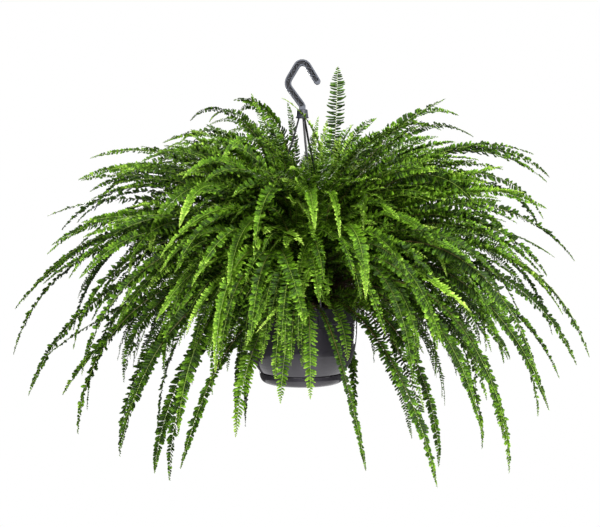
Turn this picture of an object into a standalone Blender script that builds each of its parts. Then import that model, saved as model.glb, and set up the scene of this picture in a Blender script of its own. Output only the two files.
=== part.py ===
"""Boston fern in a hanging pot.

The origin is the seat inside the hook, the point that hangs on a rod or a peg.
+Z is up and -Y is the front. All sizes are in metres and all angles in degrees.
An azimuth is measured from +X towards +Y, so -90 faces the front.
"""

import math
import random
from typing import NamedTuple

import bmesh
import bpy
from mathutils import Matrix, Vector

CLEARANCE = 0.0003  # between two pieces that touch

# Hook and collar, one moulding
HOOK_WIDTH = 0.0130
HOOK_DEPTH = 0.0100
HOOK_WALL = 0.0021
HOOK_WEB = 0.0030
HOOK_EDGE = 0.0010
HOOK_RIB = 0.0013
HOOK_DRAFT = 0.0002
HOOK_RIB_PITCH = 0.0085
HOOK_ROOT = 0.0125  # plain length inside and just above the collar
HOOK_BENDS = (  # x, z and bend radius along the middle of the arm, from the collar to the tip
    (0.0005, -0.0920, 0.0),
    (0.0005, -0.0790, 0.010),
    (-0.0320, -0.0350, 0.018),
    (0.0000, 0.0185, 0.0125),
    (0.0298, -0.0305, 0.0),
)
COLLAR_TOP = -0.0860
COLLAR_BOTTOM = -0.1032
COLLAR_TOP_RADIUS = 0.0106
COLLAR_BOTTOM_RADIUS = 0.0122
COLLAR_LIP = 0.0030
COLLAR_LIP_RADIUS = 0.0130

# Pot, with its rim band; heights are below the hook's seat
RIM_TOP = -0.4740
RIM_RADIUS = 0.1155
RIM_BAND_BOTTOM = -0.5060
RIM_THICKNESS = 0.0040
RIM_ROUND = 0.0015
POT_WALL = 0.0022
BODY_TOP_RADIUS = 0.1113
BODY_TAPER = 0.0020
BODY_TUCK = 0.0243
BODY_TUCK_POWER = 3.6
BODY_BOTTOM = -0.6120
UNDERSIDE_RADIUS = 0.0760  # where the tucked-in body meets the flat underside
POT_FLOOR = -0.6280
FLOOR_RADIUS = 0.0700
FOOT_RING_RADIUS = 0.0660
FOOT_RING_WIDTH = 0.0050
FOOT_RING_BOTTOM = -0.6317
DRAIN_HOLES = 6
DRAIN_HOLE_RADIUS = 0.0050
DRAIN_CIRCLE_RADIUS = 0.0400
POT_SEGMENTS = 44

# Drip saucer
SAUCER_TOP = -0.6128
SAUCER_RADIUS = 0.0866
SAUCER_WALL = 0.0018
SAUCER_BOTTOM = -0.6338
SAUCER_BASE_RADIUS = 0.0740
SAUCER_SNAP_HEIGHT = 0.0030
SAUCER_SNAP_WIDTH = 0.0020

# Soil and the crown of rhizomes
SOIL_TOP = -0.4920
CROWN_BASE_RADIUS = 0.0780
CROWN_TOP_RADIUS = 0.0660
CROWN_TOP = -0.4720

# Straps, from sockets in the collar to clips on the rim
STRAP_AZIMUTHS = (178.0, -72.0, 48.0)
STRAP_WIDTH = 0.0042
STRAP_DEPTH = 0.0034
STRAP_TOP_RADIUS = 0.0070
STRAP_SOCKET_DEPTH = 0.0050
STRAP_BEND = -0.1120
STRAP_BOW = 0.0040
CLIP_WIDTH = 0.0120
CLIP_THICKNESS = 0.0024
CLIP_CLEARANCE = 0.0005
CLIP_INNER_LEG = 0.0140
CLIP_BARB = 0.0020
CLIP_TAIL = 0.0030

# Fronds
FROND_BASE = CROWN_TOP + CLEARANCE
FROND_THICKNESS = 0.0030
STIPE_RADIUS = 0.0022
STIPE_SHARE = 0.13
BLADE_HALF_WIDTH = 0.0270
TEETH = 8
NOTCH = 0.60
BLADE_SAG = 0.16
PATH_STEPS = 96
FROND_SEED = 7
BAY_AZIMUTHS = (175.0, -65.0, 55.0)  # where the fronds of each bay between straps start
FRONT_SPREAD = 30.0
FRONT_SHORTENING = 0.18


class Frond(NamedTuple):
    """One leaf: where it starts, how long it is and how its midrib turns."""

    azimuth: float
    base_radius: float
    length: float
    rise: float  # angle above the horizontal at the base
    droop: float  # angle above the horizontal at the tip
    ease: float = 1.0  # above 1 the frond bends late, below 1 it bends early
    sway: float = 0.0  # how far the heading turns from base to tip
    twist: float = 0.0  # how far the blade rolls from base to tip
    width: float = 1.0


class Tier(NamedTuple):
    """A ring of fronds in the three bays between the straps."""

    per_bay: int
    phase: float  # how far the first one stands into its share of the bay
    margin: float  # kept clear beside each strap
    base_radius: float
    length: float
    rise: float
    droop: float
    ease: float


TIERS = (
    Tier(2, 0.50, 20.0, 0.016, 0.500, 81.0, 24.0, 1.20),
    Tier(2, 0.50, 10.0, 0.024, 0.580, 74.0, -18.0, 1.15),
    Tier(3, 0.70, 12.0, 0.032, 0.655, 67.0, -54.0, 1.05),
    Tier(3, 0.30, 8.0, 0.040, 0.740, 59.0, -76.0, 0.95),
    Tier(3, 0.70, 8.0, 0.047, 0.660, 51.0, -88.0, 0.75),
    Tier(3, 0.30, 10.0, 0.054, 0.580, 44.0, -90.0, 0.55),
)

UPRIGHT_FRONDS = (
    Frond(-7.0, 0.026, 0.472, 80.1, 89.0, 1.0, twist=100.0, width=0.66),
    Frond(148.0, 0.012, 0.440, 86.0, 62.0, 1.2, twist=-25.0, width=0.75),
)

LOW_FRONT_FRONDS = (
    Frond(-111.0, 0.058, 0.365, 40.0, -82.0, 0.48, -11.0, width=0.75),
    Frond(-97.0, 0.058, 0.270, 38.0, -82.0, 0.48, -11.0, width=0.75),
    Frond(-85.0, 0.058, 0.290, 40.0, -86.0, 0.62, -6.0, width=0.75),
    Frond(-63.0, 0.058, 0.200, 40.0, -84.0, 0.70, -7.0, width=0.75),
    Frond(-38.0, 0.058, 0.375, 40.0, -84.0, 0.45, 0.0, width=0.70),
)

HIGH_FRONT_FRONDS = (
    Frond(-115.0, 0.036, 0.485, 82.0, -90.0, 1.23, 8.0, width=0.75),
    Frond(-102.0, 0.028, 0.555, 84.0, -75.0, 1.29, width=0.75),
    Frond(-64.0, 0.036, 0.470, 71.0, -90.0, 1.40, -18.0, width=0.75),
    Frond(-88.0, 0.020, 0.510, 86.0, -50.0, 1.16, 2.0, width=0.75),
)


# Shared tools


def clear_scene():
    for item in list(bpy.data.objects):
        bpy.data.objects.remove(item)


def material(name, colour, roughness, metallic=0.0):
    made = bpy.data.materials.new(name)
    made.use_nodes = True
    shader = made.node_tree.nodes["Principled BSDF"]
    shader.inputs["Base Color"].default_value = (*colour, 1.0)
    shader.inputs["Roughness"].default_value = roughness
    shader.inputs["Metallic"].default_value = metallic
    made.diffuse_color = (*colour, 1.0)
    return made


def add_object(name, points, faces, look=None, smooth_angle=None):
    mesh = bpy.data.meshes.new(name)
    mesh.from_pydata([tuple(p) for p in points], [], faces)
    shape = bmesh.new()
    shape.from_mesh(mesh)
    bmesh.ops.recalc_face_normals(shape, faces=shape.faces)
    if shape.calc_volume(signed=True) < 0.0:
        bmesh.ops.reverse_faces(shape, faces=shape.faces)
    shape.to_mesh(mesh)
    shape.free()
    if look:
        mesh.materials.append(look)
    if smooth_angle is not None:
        mesh.shade_smooth()
        mesh.set_sharp_from_angle(angle=math.radians(smooth_angle))
    made = bpy.data.objects.new(name, mesh)
    bpy.context.scene.collection.objects.link(made)
    return made


def turned(name, profile, segments, look=None, smooth_angle=35.0):
    """A solid of revolution about Z from (radius, height) points that start and end on the axis."""
    points = []
    rings = []
    for radius, height in profile:
        if radius == 0.0:
            rings.append([len(points)])
            points.append((0.0, 0.0, height))
            continue
        rings.append(list(range(len(points), len(points) + segments)))
        for step in range(segments):
            turn = 2.0 * math.pi * step / segments
            points.append((radius * math.cos(turn), radius * math.sin(turn), height))
    faces = []
    for lower, upper in zip(rings, rings[1:]):
        for step in range(segments):
            after = (step + 1) % segments
            if len(lower) == 1:
                faces.append((lower[0], upper[step], upper[after]))
            elif len(upper) == 1:
                faces.append((lower[step], lower[after], upper[0]))
            else:
                faces.append((lower[step], lower[after], upper[after], upper[step]))
    return add_object(name, points, faces, look, smooth_angle)


def prism(outline, low, high):
    """Points and faces of an outline in the XZ plane, extruded along Y from low to high."""
    count = len(outline)
    points = [(x, low, z) for x, z in outline] + [(x, high, z) for x, z in outline]
    faces = [tuple(range(count)), tuple(range(2 * count - 1, count - 1, -1))]
    for step in range(count):
        after = (step + 1) % count
        faces.append((step, after, after + count, step + count))
    return points, faces


def joined(pieces):
    """One list of points and one of faces from several (points, faces) pairs."""
    points = []
    faces = []
    for own_points, own_faces in pieces:
        first = len(points)
        points.extend(own_points)
        faces.extend(tuple(first + i for i in face) for face in own_faces)
    return points, faces


def as_cutter(item):
    item.hide_render = True
    item.display_type = "WIRE"
    return item


def boolean(item, other, operation):
    step = item.modifiers.new(operation.title() + " " + other.name, "BOOLEAN")
    step.operation = operation
    step.solver = "EXACT"
    step.object = other


# Hook


def bent_path(bends, arc_step=6.0):
    """Points along straight runs joined by arcs; each bend is (x, z, radius)."""
    corners = [Vector((x, z)) for x, z, _ in bends]
    path = [corners[0]]
    for before, corner, after, bend in zip(corners, corners[1:], corners[2:], bends[1:]):
        arriving = (corner - before).normalized()
        leaving = (after - corner).normalized()
        turn = arriving.angle_signed(leaving)
        reach = bend[2] * math.tan(abs(turn) / 2.0)
        start = corner - arriving * reach
        steps = max(2, round(math.degrees(abs(turn)) / arc_step))
        inward = Vector((-arriving.y, arriving.x)) * (-1.0 if turn > 0.0 else 1.0)
        centre = start + inward * bend[2]
        for step in range(steps + 1):
            swing = Matrix.Rotation(-turn * step / steps, 2)
            path.append(centre + swing @ (start - centre))
    path.append(corners[-1])
    return path


def path_at(path, distance):
    """The point and the direction at a distance along a path."""
    for here, there in zip(path, path[1:]):
        span = (there - here).length
        if distance <= span or there is path[-1]:
            direction = (there - here).normalized()
            return here + direction * distance, direction
        distance -= span
    return None


def path_length(path):
    return sum((there - here).length for here, there in zip(path, path[1:]))


def hook_stations(path):
    """Points and sideways directions along the arm: its root in the collar, then every half rib."""
    end = path_length(path)
    count = 2 * round((end - HOOK_ROOT) / HOOK_RIB_PITCH)
    distances = [0.0] + [HOOK_ROOT + (end - HOOK_ROOT) * i / count for i in range(count + 1)]
    stations = []
    for distance in distances:
        place, direction = path_at(path, distance)
        stations.append((place, Vector((-direction.y, direction.x))))
    return stations


def hook_face(stations, columns, first):
    """Faces of one flat side of the arm: its two walls, and the cells between zigzag ribs."""
    left_edge, left_wall, right_wall, right_edge = (first + c for c in range(4))
    last = len(stations) - 1
    faces = []
    cells = []
    for station in range(last):
        low = station * columns
        high = low + columns
        faces.append((left_edge + low, left_edge + high, left_wall + high, left_wall + low))
        faces.append((right_wall + low, right_wall + high, right_edge + high, right_edge + low))
    faces.append((left_wall, left_wall + columns, right_wall + columns, right_wall))
    for apex in range(1, last + 1, 2):
        wide, narrow = (left_wall, right_wall) if apex % 4 == 1 else (right_wall, left_wall)
        span = range(max(apex - 2, 1), min(apex + 2, last) + 1)
        cells.append([wide + place * columns for place in span] + [narrow + apex * columns])
    return faces, cells


def arm_mesh(stations):
    """The arm as a closed shape, with the cells on its two flat sides listed apart."""
    half = HOOK_WIDTH / 2.0
    wall = half - HOOK_WALL
    deep = HOOK_DEPTH / 2.0
    columns = 8
    points = []
    for place, side in stations:
        for y in (-deep, deep):
            for reach in (half, wall, -wall, -half):
                at = place + side * reach
                points.append((at.x, y, at.y))
    front, front_cells = hook_face(stations, columns, 0)
    back, back_cells = hook_face(stations, columns, 4)
    faces = front + back + [(0, 1, 2, 3, 7, 6, 5, 4)]
    last = len(stations) - 1
    for station in range(last):
        low = station * columns
        high = low + columns
        faces.append((low, high, high + 4, low + 4))
        faces.append((low + 3, high + 3, high + 7, low + 7))
    tip, side = stations[-1]
    ahead = Vector((side.y, -side.x))
    steps = 8
    arcs = []
    for y in (-deep, deep):
        arc = []
        for step in range(1, steps):
            turn = math.pi * step / steps
            at = tip + (side * math.cos(turn) + ahead * math.sin(turn)) * half
            arc.append(len(points))
            points.append((at.x, y, at.y))
        arcs.append(arc)
    end = last * columns
    rims = []
    for arc, first in zip(arcs, (0, 4)):
        rim = [end + first, *arc, end + first + 3]
        rims.append(rim)
        faces.append((*rim, end + first + 2, end + first + 1))
    for step in range(steps):
        faces.append((rims[0][step], rims[0][step + 1], rims[1][step + 1], rims[1][step]))
    return points, faces, front_cells + back_cells


def is_rim(edge):
    """True for an edge between one of the arm's flat sides and its outline."""
    return [abs(face.normal.y) > 0.9 for face in edge.link_faces].count(True) == 1


def build_arm(look):
    """The hook's arm, with bevelled rims and pockets sunk between its ribs."""
    stations = hook_stations(bent_path(HOOK_BENDS))
    points, faces, cells = arm_mesh(stations)
    arm = add_object("hanger_hook", points, faces + cells, look)
    shape = bmesh.new()
    shape.from_mesh(arm.data)
    shape.normal_update()
    pockets = [face for face in shape.faces if face.index >= len(faces)]
    rims = [edge for edge in shape.edges if is_rim(edge)]
    bmesh.ops.bevel(shape, geom=rims, offset=HOOK_EDGE, segments=1, affect="EDGES")
    sink = (HOOK_DEPTH - HOOK_WEB) / 2.0
    bmesh.ops.inset_individual(shape, faces=pockets, thickness=HOOK_RIB / 2.0)
    bmesh.ops.inset_individual(shape, faces=pockets, thickness=HOOK_DRAFT, depth=-sink)
    shape.to_mesh(arm.data)
    shape.free()
    return arm


def collar():
    profile = [
        (0.0, COLLAR_TOP),
        (COLLAR_TOP_RADIUS - 0.001, COLLAR_TOP),
        (COLLAR_TOP_RADIUS, COLLAR_TOP - 0.001),
        (COLLAR_BOTTOM_RADIUS, COLLAR_BOTTOM + COLLAR_LIP),
        (COLLAR_LIP_RADIUS, COLLAR_BOTTOM + COLLAR_LIP - 0.0005),
        (COLLAR_LIP_RADIUS, COLLAR_BOTTOM + 0.0006),
        (COLLAR_LIP_RADIUS - 0.0006, COLLAR_BOTTOM),
        (0.0, COLLAR_BOTTOM),
    ]
    return as_cutter(turned("collar", profile, 32))


def strap_sockets():
    """Three blind sockets in the underside of the collar."""
    pieces = []
    for azimuth in STRAP_AZIMUTHS:
        half_width = STRAP_WIDTH / 2.0 + CLEARANCE
        half_depth = STRAP_DEPTH / 2.0 + CLEARANCE
        outline = [
            (STRAP_TOP_RADIUS - half_depth, COLLAR_BOTTOM - 0.001),
            (STRAP_TOP_RADIUS + half_depth, COLLAR_BOTTOM - 0.001),
            (STRAP_TOP_RADIUS + half_depth, COLLAR_BOTTOM + STRAP_SOCKET_DEPTH),
            (STRAP_TOP_RADIUS - half_depth, COLLAR_BOTTOM + STRAP_SOCKET_DEPTH),
        ]
        points, faces = prism(outline, -half_width, half_width)
        turn = Matrix.Rotation(math.radians(azimuth), 3, "Z")
        pieces.append(([turn @ Vector(p) for p in points], faces))
    points, faces = joined(pieces)
    return as_cutter(add_object("strap_sockets", points, faces))


def build_hook(look):
    hook = build_arm(look)
    boolean(hook, collar(), "UNION")
    boolean(hook, strap_sockets(), "DIFFERENCE")
    return hook


# Pot, saucer, soil and crown


def body_radius(height):
    """Outer radius of the pot's body between the rim band and its lower corner."""
    share = (RIM_BAND_BOTTOM - height) / (RIM_BAND_BOTTOM - BODY_BOTTOM)
    return BODY_TOP_RADIUS - BODY_TAPER * share - BODY_TUCK * share**BODY_TUCK_POWER


def body_heights(steps=8):
    """Heights down the body, closer together where it tucks in."""
    span = RIM_BAND_BOTTOM - BODY_BOTTOM
    return [RIM_BAND_BOTTOM - span * (step / steps) ** 0.7 for step in range(steps + 1)]


def inside_profile(gap=0.0):
    """The pot's inner wall, from the middle of the floor up to the rim band, less a gap."""
    floor = POT_FLOOR + POT_WALL + gap
    rise = [(body_radius(h) - POT_WALL - gap, h) for h in reversed(body_heights(6))]
    return [(0.0, floor), (FLOOR_RADIUS - POT_WALL - gap, floor), *rise]


def build_pot(look):
    inner_rim = RIM_RADIUS - RIM_THICKNESS
    inside = [*inside_profile(), (inner_rim, RIM_BAND_BOTTOM + 2.0 * RIM_ROUND)]
    rim = [
        (inner_rim, RIM_TOP - RIM_ROUND * 0.7),
        (inner_rim + RIM_ROUND * 0.7, RIM_TOP),
        (RIM_RADIUS - RIM_ROUND, RIM_TOP),
        (RIM_RADIUS, RIM_TOP - RIM_ROUND),
        (RIM_RADIUS - RIM_ROUND * 0.5, RIM_BAND_BOTTOM + RIM_ROUND),
        (RIM_RADIUS - RIM_ROUND * 1.4, RIM_BAND_BOTTOM),
    ]
    outside = [(body_radius(h), h) for h in body_heights()]
    base = [
        (UNDERSIDE_RADIUS, BODY_BOTTOM - 0.0070),
        (FOOT_RING_RADIUS + 0.0020, POT_FLOOR + 0.0020),
        (FOOT_RING_RADIUS, POT_FLOOR),
        (FOOT_RING_RADIUS, FOOT_RING_BOTTOM),
        (FOOT_RING_RADIUS - FOOT_RING_WIDTH, FOOT_RING_BOTTOM),
        (FOOT_RING_RADIUS - FOOT_RING_WIDTH, POT_FLOOR),
        (0.0, POT_FLOOR),
    ]
    pot = turned("pot", inside + rim + outside + base, POT_SEGMENTS, look)
    boolean(pot, drain_holes(), "DIFFERENCE")
    return pot


def drain_holes():
    sides = 12
    pieces = []
    for hole in range(DRAIN_HOLES):
        turn = 2.0 * math.pi * hole / DRAIN_HOLES
        centre = Vector((math.cos(turn), math.sin(turn), 0.0)) * DRAIN_CIRCLE_RADIUS
        rings = []
        for height in (POT_FLOOR - 0.002, POT_FLOOR + POT_WALL + 0.002):
            for side in range(sides):
                angle = 2.0 * math.pi * side / sides
                around = Vector((math.cos(angle), math.sin(angle), 0.0)) * DRAIN_HOLE_RADIUS
                rings.append(centre + around + Vector((0.0, 0.0, height)))
        faces = [tuple(range(sides)), tuple(range(2 * sides - 1, sides - 1, -1))]
        for side in range(sides):
            after = (side + 1) % sides
            faces.append((side, after, after + sides, side + sides))
        pieces.append((rings, faces))
    points, faces = joined(pieces)
    return as_cutter(add_object("drain_holes", points, faces))


def build_saucer(look):
    floor = SAUCER_BOTTOM + SAUCER_WALL
    snap = FOOT_RING_RADIUS + CLEARANCE
    inner = SAUCER_RADIUS - SAUCER_WALL
    profile = [
        (0.0, floor),
        (snap, floor),
        (snap, floor + SAUCER_SNAP_HEIGHT),
        (snap + SAUCER_SNAP_WIDTH, floor + SAUCER_SNAP_HEIGHT - 0.001),
        (snap + SAUCER_SNAP_WIDTH, floor),
        (SAUCER_BASE_RADIUS, floor),
        (inner - 0.0030, SAUCER_BOTTOM + 0.0085),
        (inner, SAUCER_TOP),
        (SAUCER_RADIUS, SAUCER_TOP),
        (SAUCER_RADIUS - 0.0008, SAUCER_TOP - 0.0090),
        (SAUCER_RADIUS - 0.0040, SAUCER_BOTTOM + 0.0050),
        (SAUCER_RADIUS - 0.0085, SAUCER_BOTTOM + 0.0014),
        (SAUCER_BASE_RADIUS, SAUCER_BOTTOM),
        (0.0, SAUCER_BOTTOM),
    ]
    return turned("drip_saucer", profile, POT_SEGMENTS, look)


def build_soil(look):
    wall = inside_profile(CLEARANCE * 2.0)[:-1]
    top_radius = body_radius(RIM_BAND_BOTTOM) - POT_WALL - CLEARANCE * 2.0
    rounded = top_radius - 0.006
    top = [(top_radius, SOIL_TOP - 0.008), (rounded, SOIL_TOP), (0.0, SOIL_TOP)]
    return turned("soil", wall + top, POT_SEGMENTS, look)


def build_crown(look):
    foot = SOIL_TOP + CLEARANCE
    profile = [
        (0.0, foot),
        (CROWN_BASE_RADIUS, foot),
        (CROWN_BASE_RADIUS - 0.0020, foot + 0.0070),
        (CROWN_TOP_RADIUS + 0.0050, CROWN_TOP - 0.0050),
        (CROWN_TOP_RADIUS, CROWN_TOP),
        (0.0, CROWN_TOP),
    ]
    return turned("crown", profile, 32, look)


# Straps


def clip_outline():
    """The clip as a U over the rim, as (radius, height) points."""
    outer = RIM_RADIUS + CLIP_CLEARANCE
    inner = RIM_RADIUS - RIM_THICKNESS - CLIP_CLEARANCE
    seat = RIM_TOP + CLEARANCE
    under = RIM_BAND_BOTTOM - CLIP_CLEARANCE
    thick = CLIP_THICKNESS
    return [
        (inner, seat),
        (inner, seat - CLIP_INNER_LEG),
        (inner - thick * 0.6, seat - CLIP_INNER_LEG),
        (inner - thick, seat - CLIP_INNER_LEG + 0.002),
        (inner - thick, seat + thick * 0.5),
        (inner - thick * 0.5, seat + thick),
        (outer + thick * 0.5, seat + thick),
        (outer + thick, seat + thick * 0.5),
        (outer + thick, under - thick),
        (outer + thick * 0.5, under - CLIP_TAIL),
        (outer - CLIP_BARB * 0.5, under - CLIP_TAIL),
        (outer - CLIP_BARB, under),
        (outer, under),
        (outer, seat),
    ]


def strap_points():
    """The middle of a strap as (radius, height): down out of its socket, then out to the rim."""
    top = COLLAR_BOTTOM + STRAP_SOCKET_DEPTH - CLEARANCE
    foot_radius = RIM_RADIUS - RIM_THICKNESS / 2.0
    foot = RIM_TOP + CLEARANCE + CLIP_THICKNESS * 0.5
    points = [(STRAP_TOP_RADIUS, top), (STRAP_TOP_RADIUS, COLLAR_BOTTOM - 0.001)]
    steps = 10
    for step in range(1, steps + 1):
        share = step / steps
        height = STRAP_BEND + (foot - STRAP_BEND) * share
        bow = STRAP_BOW * math.sin(math.pi * share)
        points.append((STRAP_TOP_RADIUS + (foot_radius - STRAP_TOP_RADIUS) * share + bow, height))
    return points


def strip(centres, width, depth):
    """A bar of chamfered section along (radius, height) points, at azimuth 0."""
    half = width / 2.0
    deep = depth / 2.0
    corner = depth * 0.25
    section = [(-half + corner, -deep), (half - corner, -deep), (half, -deep + corner)]
    section += [(half, deep - corner), (half - corner, deep), (-half + corner, deep)]
    section += [(-half, deep - corner), (-half, -deep + corner)]
    count = len(section)
    points = []
    for place, (radius, height) in enumerate(centres):
        before = centres[max(place - 1, 0)]
        after = centres[min(place + 1, len(centres) - 1)]
        along = Vector((after[0] - before[0], after[1] - before[1])).normalized()
        if place in (0, 1):
            along = Vector((0.0, -1.0))
        for across, out in section:
            points.append((radius - along.y * out, across, height + along.x * out))
    faces = [tuple(range(count)), tuple(range(len(points) - 1, len(points) - count - 1, -1))]
    for ring in range(len(centres) - 1):
        for side in range(count):
            after = (side + 1) % count
            low = ring * count
            faces.append((low + side, low + after, low + count + after, low + count + side))
    return points, faces


def build_strap(number, azimuth, look):
    turn = Matrix.Rotation(math.radians(azimuth), 4, "Z")
    points, faces = strip(strap_points(), STRAP_WIDTH, STRAP_DEPTH)
    strap = add_object(f"hanger_strap_{number}", points, faces, look, 40.0)
    strap.matrix_world = turn
    points, faces = prism(clip_outline(), -CLIP_WIDTH / 2.0, CLIP_WIDTH / 2.0)
    clip = as_cutter(add_object(f"rim_clip_{number}", points, faces))
    clip.matrix_world = turn
    boolean(strap, clip, "UNION")
    return strap


# Fronds


def midrib(frond, base_height=FROND_BASE, steps=PATH_STEPS):
    """Points, directions and sideways directions along a frond, from its base to its tip."""
    heading = math.radians(frond.azimuth)
    place = Vector((math.cos(heading), math.sin(heading), 0.0)) * frond.base_radius
    place.z = base_height
    path = []
    for step in range(steps + 1):
        share = step / steps
        slope = math.radians(frond.rise + (frond.droop - frond.rise) * share**frond.ease)
        heading = math.radians(frond.azimuth + frond.sway * share)
        ahead = Vector((math.cos(heading), math.sin(heading), 0.0)) * math.cos(slope)
        ahead.z = math.sin(slope)
        side = Vector((-math.sin(heading), math.cos(heading), 0.0))
        roll = Matrix.Rotation(math.radians(frond.twist * share), 3, ahead)
        path.append((place.copy(), ahead, roll @ side))
        place += ahead * frond.length / steps
    return path


def blade_spread(share):
    """Half-width of the blade as a share of its widest, from its base at 0 to its tip at 1."""
    return (1.0 - (1.0 - share) ** 6) * (1.0 - share**4.5) * (1.0 - 0.18 * share)


def blade_stations():
    """Shares of the frond's length and half-widths: the bare stipe, then toothed edges."""
    stations = [(0.0, None), (STIPE_SHARE * 0.5, None), (STIPE_SHARE, None)]
    span = 1.0 - STIPE_SHARE
    for tooth in range(TEETH):
        for place, reach in ((0.55, 1.0), (1.0, NOTCH)):
            share = (tooth + place) / TEETH
            if share < 1.0:
                stations.append((STIPE_SHARE + span * share, blade_spread(share) * reach))
    return stations


def build_frond(name, frond, look):
    path = midrib(frond)
    points = []
    stations = blade_stations()
    for share, spread in stations:
        place, ahead, side = path[round(share * PATH_STEPS)]
        up = side.cross(ahead) * -1.0
        if spread is None:
            half = thick = STIPE_RADIUS
            sag = 0.0
        else:
            half = max(spread * BLADE_HALF_WIDTH * frond.width, STIPE_RADIUS)
            thick = FROND_THICKNESS / 2.0
            sag = half * BLADE_SAG
        if share == 0.0:  # cut level, to stand on the crown
            side = Vector((-math.sin(math.radians(frond.azimuth)), 0.0, 0.0))
            side.y = math.cos(math.radians(frond.azimuth))
            up = Vector((-side.y, side.x, 0.0))
        points.append(place + side * half - up * sag)
        points.append(place + up * thick)
        points.append(place - side * half - up * sag)
        points.append(place - up * thick)
    tip = len(points)
    points.append(path[-1][0])
    faces = [(0, 1, 2, 3)]
    for ring in range(len(stations) - 1):
        low = ring * 4
        for side in range(4):
            after = (side + 1) % 4
            faces.append((low + side, low + after, low + 4 + after, low + 4 + side))
    last = tip - 4
    for side in range(4):
        faces.append((last + side, last + (side + 1) % 4, tip))
    return add_object(name, points, faces, look)


def in_front(azimuth):
    return abs((azimuth + 90.0 + 180.0) % 360.0 - 180.0) < FRONT_SPREAD


def tier_fronds():
    """The rings of fronds, with small natural differences; they leave the front open."""
    draw = random.Random(FROND_SEED)
    fronds = []
    for tier in TIERS:
        span = 120.0 - 2.0 * tier.margin
        for bay in BAY_AZIMUTHS:
            for place in range(tier.per_bay):
                share = (place + tier.phase) / tier.per_bay
                azimuth = bay + tier.margin + span * share + draw.uniform(-3.0, 3.0)
                shorter = 1.0 - FRONT_SHORTENING * max(0.0, -math.sin(math.radians(azimuth)))
                length = tier.length * shorter * draw.uniform(0.92, 1.07)
                sway = draw.uniform(-5.0, 5.0)
                twist = draw.uniform(-14.0, 14.0)
                shape = (tier.rise, tier.droop, tier.ease, sway, twist)
                if not in_front(azimuth):
                    fronds.append(Frond(azimuth, tier.base_radius, length, *shape))
    return fronds


def build_fronds(look):
    fronds = [*UPRIGHT_FRONDS, *tier_fronds(), *LOW_FRONT_FRONDS, *HIGH_FRONT_FRONDS]
    for number, frond in enumerate(fronds, 1):
        build_frond(f"frond_{number:02d}", frond, look)


def build():
    clear_scene()
    hook_plastic = material("hook_plastic", (0.085, 0.090, 0.105), 0.45)
    strap_plastic = material("strap_plastic", (0.012, 0.012, 0.014), 0.40)
    pot_plastic = material("pot_plastic", (0.045, 0.042, 0.050), 0.18)
    saucer_plastic = material("saucer_plastic", (0.040, 0.038, 0.045), 0.20)
    peat = material("peat", (0.040, 0.024, 0.015), 0.95)
    rhizome = material("rhizome", (0.110, 0.065, 0.035), 0.90)
    leaf = material("leaf", (0.065, 0.190, 0.022), 0.45)
    build_hook(hook_plastic)
    for number, azimuth in enumerate(STRAP_AZIMUTHS, 1):
        build_strap(number, azimuth, strap_plastic)
    build_pot(pot_plastic)
    build_saucer(saucer_plastic)
    build_soil(peat)
    build_crown(rhizome)
    build_fronds(leaf)


build()
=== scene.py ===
"""Boston fern in a hanging pot: the looks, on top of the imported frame.

Metres, +Z up, -Y is the front. The origin is the seat inside the hook.
"""

import math
import random
from typing import NamedTuple

import bmesh
import bpy
import numpy as np
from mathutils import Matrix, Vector


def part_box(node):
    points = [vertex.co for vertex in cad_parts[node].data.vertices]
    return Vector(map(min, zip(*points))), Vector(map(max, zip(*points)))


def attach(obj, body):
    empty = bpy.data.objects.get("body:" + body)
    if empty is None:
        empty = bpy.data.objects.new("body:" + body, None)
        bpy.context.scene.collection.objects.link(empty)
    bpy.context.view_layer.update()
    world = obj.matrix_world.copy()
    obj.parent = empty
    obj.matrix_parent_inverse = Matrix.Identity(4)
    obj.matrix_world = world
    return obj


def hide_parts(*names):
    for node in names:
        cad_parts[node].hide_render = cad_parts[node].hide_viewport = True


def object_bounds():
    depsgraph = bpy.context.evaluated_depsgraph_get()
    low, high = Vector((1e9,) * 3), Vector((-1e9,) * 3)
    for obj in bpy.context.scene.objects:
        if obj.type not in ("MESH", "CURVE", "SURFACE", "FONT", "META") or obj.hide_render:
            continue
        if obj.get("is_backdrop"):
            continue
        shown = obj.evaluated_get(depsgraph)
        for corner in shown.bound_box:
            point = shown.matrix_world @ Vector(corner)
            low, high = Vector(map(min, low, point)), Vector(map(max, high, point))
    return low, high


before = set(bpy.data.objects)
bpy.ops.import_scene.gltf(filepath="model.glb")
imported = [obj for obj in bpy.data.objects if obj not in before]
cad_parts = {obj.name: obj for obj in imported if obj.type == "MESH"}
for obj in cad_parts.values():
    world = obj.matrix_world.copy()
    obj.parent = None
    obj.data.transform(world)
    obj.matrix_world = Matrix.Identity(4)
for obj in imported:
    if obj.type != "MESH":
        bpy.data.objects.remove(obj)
cad_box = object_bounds()

BAY_AZIMUTHS = (175.0, -65.0, 55.0)  # where the fronds of each bay between straps start
BAY_SPAN = 120.0
CROWN_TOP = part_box("crown")[1].z
FROND_BASE = CROWN_TOP + 0.0003  # the gap that the solids keep between crown and stems
STIPE_SHARE = 0.13  # the bare lower end of a frond
PATH_STEPS = 96
FRONT = -90.0  # azimuth of the side that faces the viewer
FRONT_SPREAD = 30.0  # the tiers leave this many degrees open on either side of the front
FRONT_SHORTENING = 0.18  # share of its length that a frond straight in front loses

TIER_SEED = 7
ACCENT_SEED = 61
FILLER_SEED = 23
MAIN_FROND_SEED = 1000
CLUSTER_SEED = 2000

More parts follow.
